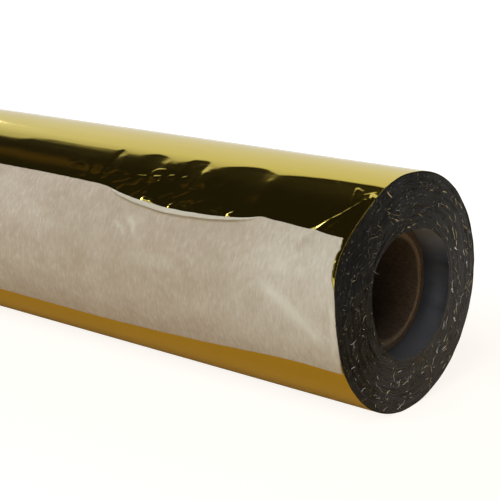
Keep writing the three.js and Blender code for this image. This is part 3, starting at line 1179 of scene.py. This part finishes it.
def build_camera():
    lens = bpy.data.cameras.new("camera")
    lens.lens = CAMERA_LENS
    lens.sensor_width = 36.0
    lens.clip_start = 0.01
    lens.clip_end = 60.0
    camera = add_object("camera", lens)
    camera.location = CAMERA_PLACE
    camera.rotation_euler = [math.radians(a) for a in CAMERA_TURN]
    bpy.context.scene.camera = camera


def hide_from(stage, *rays):
    """Keeps a floor or backdrop out of what these kinds of ray meet."""
    for ray in rays:
        setattr(stage, f"visible_{ray}", False)


def add_floor(name, material, *hidden_from):
    """A round floor beneath the roll."""
    z = -FILM_RADIUS * MM
    turns = [2 * math.pi * k / FLOOR_SIDES for k in range(FLOOR_SIDES)]
    rim = [(FLOOR_RADIUS * math.cos(a), FLOOR_RADIUS * math.sin(a), z) for a in turns]
    faces = [(0, 1 + k, 1 + (k + 1) % FLOOR_SIDES) for k in range(FLOOR_SIDES)]
    mesh = bpy.data.meshes.new(name)
    mesh.from_pydata([(0.0, 0.0, z), *rim], [], faces)
    mesh.materials.append(material)
    floor = add_object(name, mesh)
    hide_from(floor, *hidden_from)


def build_backdrop():
    """A white dome for the camera alone, behind and above everything."""
    bpy.ops.mesh.primitive_uv_sphere_add(segments=64, ring_count=32, radius=FLOOR_RADIUS)
    dome = bpy.context.object
    dome.name = "backdrop"
    dome.data.materials.append(glowing_material("studio_white", 0.0, 1.0))
    hide_from(dome, "diffuse", "glossy", "transmission", "shadow")


def add_light(name, kind, toward, strength):
    """A light that shines from a direction or a place towards the roll."""
    light = bpy.data.lights.new(name, kind)
    light.energy = strength
    lamp = add_object(name, light)
    lamp.rotation_euler = Vector(toward).to_track_quat("Z", "Y").to_euler()
    return lamp


def build_lights():
    """Broad suns, which the mirror film doesn't show, and small soft boxes that its folds do."""
    for name, toward, strength, width in SUNS:
        sun = add_light(name, "SUN", toward, strength)
        sun.data.angle = math.radians(width)
        sun.visible_glossy = False
    for name, place, size, watts in PANELS:
        panel = add_light(name, "AREA", place, watts)
        panel.data.shape = "RECTANGLE"
        panel.data.size, panel.data.size_y = size
        panel.location = place
        panel.visible_camera = False


def build_world():
    """A white studio sweep behind and low all round, under a dark ceiling."""
    world = bpy.data.worlds.new("studio")
    world.use_nodes = True
    bpy.context.scene.world = world
    sky = Nodes(world.node_tree)
    east, north, up = sky.parts(sky.node("ShaderNodeTexCoord").outputs["Generated"])
    turn = sky.math("ARCTAN2", up, north)

    def share(value):
        return sky.math("MINIMUM", sky.math("MAXIMUM", value, 0.0), 1.0)

    over_sweep = sky.math("SUBTRACT", turn, math.radians(SWEEP_TOP))
    over_sweep = sky.math("DIVIDE", over_sweep, math.radians(SWEEP_SOFTNESS))
    over_wall = sky.math("DIVIDE", sky.math("SUBTRACT", up, LOW_WALL_TOP), 0.5)
    above = sky.math("MULTIPLY_ADD", sky.math("MINIMUM", over_sweep, over_wall), 0.5, 0.5)
    tone = sky.ramp(above, *SWEEP_TONES)

    away = sky.math("ABSOLUTE", sky.math("SUBTRACT", turn, math.radians(GLOW_TURN)))
    glow = sky.math("SUBTRACT", 1.0, sky.math("DIVIDE", away, math.radians(GLOW_HALF_WIDTH)))
    glow = sky.math("SMOOTH_MIN", sky.math("MAXIMUM", glow, 0.0), 0.8, 0.3)
    westward = share(sky.math("DIVIDE", sky.math("SUBTRACT", GLOW_EAST, east), 0.06))
    tone = sky.mix(sky.math("MULTIPLY", glow, westward), tone, GLOW_TONE)

    low = share(sky.math("SUBTRACT", 1.0, sky.math("MULTIPLY", up, 12.0)))
    background = sky.tree.nodes["Background"]
    sky.give(background.inputs["Color"], sky.mix(low, tone, HORIZON_TONE))
    sky.give(background.inputs["Strength"], 1.0)


def build_studio():
    """The pale floor is for the camera, and the one in its place, with painted shadow and gold tint
    round the roll, lights the roll.
    """
    build_camera()
    add_floor("floor", glowing_material("studio_floor", 0.3, 0.80), "glossy", "diffuse", "shadow")
    add_floor("floor_in_mirror", mirrored_floor_shade_material(), "camera", "shadow", "transmission")
    build_backdrop()
    build_world()
    build_lights()
    bpy.context.scene.view_settings.view_transform = "Standard"
    bpy.context.scene.view_settings.look = "None"


build_studio()
add_film()
add_tape()
add_bands()
add_core()
add_slivers()
